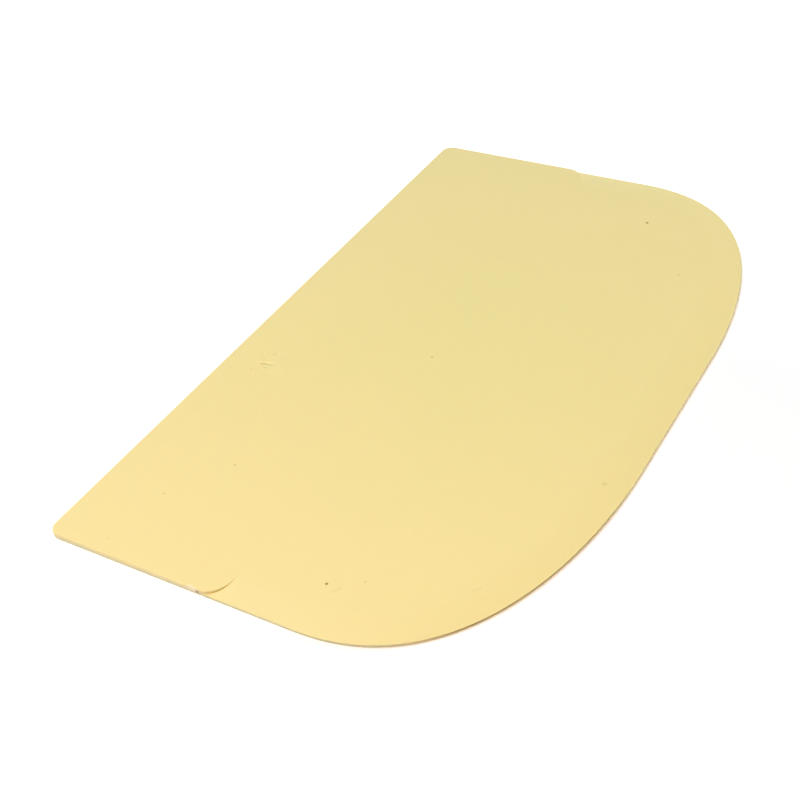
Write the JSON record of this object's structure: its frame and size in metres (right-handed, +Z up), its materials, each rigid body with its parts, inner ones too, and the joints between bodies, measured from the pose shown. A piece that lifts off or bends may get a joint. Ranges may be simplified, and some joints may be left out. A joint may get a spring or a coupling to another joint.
{
  "type": "plastic bowl scraper",
  "caption": "Thin flexible plastic card with a straight back edge, square ends and a curved, tapered scraping edge for scraping bowls and portioning dough.",
  "frame": {"origin": "middle of the underside, at the centre of the length and of the depth", "axes": "+X along the straight back edge, +Y towards the back edge so that the curved scraping edge faces -Y, +Z up out of the face with the tapered rim"},
  "size_m": [0.15, 0.089, 0.0012],
  "materials": {
    "ivory_plastic": "satin moulded plastic, cream yellow"
  },
  "bodies": {
    "root": {"scraper_card": "ivory_plastic"}
  },
  "joints": []
}
